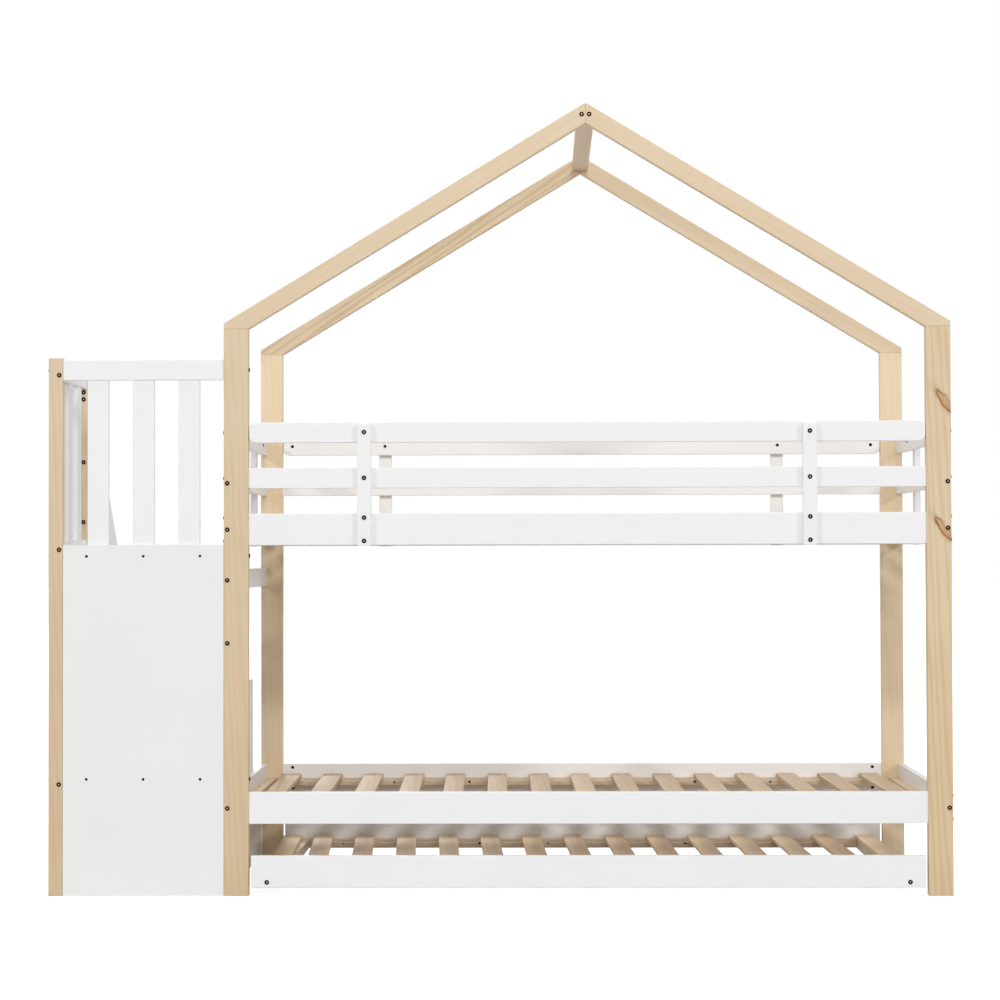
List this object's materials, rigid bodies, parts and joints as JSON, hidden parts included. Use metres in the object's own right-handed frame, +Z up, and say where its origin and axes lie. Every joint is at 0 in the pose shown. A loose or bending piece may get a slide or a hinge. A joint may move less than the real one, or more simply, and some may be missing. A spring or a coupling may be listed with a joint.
{
  "type": "house bunk bed",
  "caption": "House-shaped wooden bunk bed with a gable roof frame, guard rails, a guarded stair at one end and a rolling trundle under the lower bunk.",
  "frame": {"origin": "centre of the footprint on the floor", "axes": "+X along the bed from the stair to the free end, +Y from the near long side to the far one, +Z up"},
  "size_m": [2.5894, 0.9924, 2.253],
  "materials": {
    "pine": "clear matt lacquer",
    "slat_wood": "sawn and planed",
    "white_paint": "white satin paint",
    "white_panel": "white satin paint",
    "dark_steel": "dark bronze plating",
    "zinc_steel": "zinc plated",
    "nylon": "moulded"
  },
  "bodies": {
    "frame": {"barrel_nuts": "dark_steel", "front_bed_rail": "white_paint", "front_left_post": "pine", "front_left_rafter": "pine", "front_lower_rail": "white_paint", "front_middle_rail": "white_paint", "front_right_post": "pine", "front_right_rafter": "pine", "front_top_rail": "white_paint", "guard_straps": "white_paint", "left_bed_rail": "white_paint", "left_lower_rail": "white_paint", "left_middle_rail": "white_paint", "left_top_rail": "white_paint", "long_bolts": "dark_steel", "lower_ledgers": "slat_wood", "lower_slats": "slat_wood", "rear_bed_rail": "white_paint", "rear_left_post": "pine", "rear_left_rafter": "pine", "rear_lower_rail": "white_paint", "rear_middle_rail": "white_paint", "rear_right_post": "pine", "rear_right_rafter": "pine", "rear_top_rail": "white_paint", "ridge_bar": "pine", "right_bed_rail": "white_paint", "right_lower_rail": "white_paint", "right_middle_rail": "white_paint", "right_top_rail": "white_paint", "short_bolts": "dark_steel", "stair_back_panel": "white_panel", "stair_balusters": "white_paint", "stair_cross_rails": "white_paint", "stair_front_post": "pine", "stair_handrail": "white_paint", "stair_middle_post": "pine", "stair_rear_post": "pine", "stair_side_panels": "white_panel", "stair_side_rails": "white_paint", "stair_sloping_rails": "white_paint", "stair_tie_rails": "white_paint", "stair_top_rail": "white_paint", "stair_treads": "white_panel", "strap_bolts": "dark_steel", "upper_ledgers": "slat_wood", "upper_slats": "slat_wood", "wood_screws": "dark_steel"},
    "trundle": {"trundle_near_board": "white_paint", "trundle_far_board": "white_paint", "trundle_end_rails": "slat_wood", "trundle_ledgers": "slat_wood", "trundle_slats": "slat_wood", "caster_brackets": "zinc_steel", "trundle_bolts": "dark_steel", "trundle_screws": "dark_steel"},
    "near_left_wheel": {"near_left_wheel": "nylon"},
    "near_right_wheel": {"near_right_wheel": "nylon"},
    "far_left_wheel": {"far_left_wheel": "nylon"},
    "far_right_wheel": {"far_right_wheel": "nylon"}
  },
  "joints": [
    {"name": "trundle_slide", "type": "slide", "parent": "frame", "child": "trundle", "axis": [0, -1, 0], "range_m": [-0.9, 0.9]},
    {"name": "near_left_wheel_spin", "type": "hinge", "parent": "trundle", "child": "near_left_wheel", "pos_m": [-0.67, -0.29, 0.01], "axis": [1, 0, 0], "continuous": true},
    {"name": "near_right_wheel_spin", "type": "hinge", "parent": "trundle", "child": "near_right_wheel", "pos_m": [1.152, -0.29, 0.01], "axis": [1, 0, 0], "continuous": true},
    {"name": "far_left_wheel_spin", "type": "hinge", "parent": "trundle", "child": "far_left_wheel", "pos_m": [-0.67, 0.29, 0.01], "axis": [1, 0, 0], "continuous": true},
    {"name": "far_right_wheel_spin", "type": "hinge", "parent": "trundle", "child": "far_right_wheel", "pos_m": [1.152, 0.29, 0.01], "axis": [1, 0, 0], "continuous": true}
  ],
  "couplings": [
    {"joint": "near_left_wheel_spin", "follows": "trundle_slide", "rad_per_m": 100},
    {"joint": "near_right_wheel_spin", "follows": "trundle_slide", "rad_per_m": 100},
    {"joint": "far_left_wheel_spin", "follows": "trundle_slide", "rad_per_m": 100},
    {"joint": "far_right_wheel_spin", "follows": "trundle_slide", "rad_per_m": 100}
  ]
}
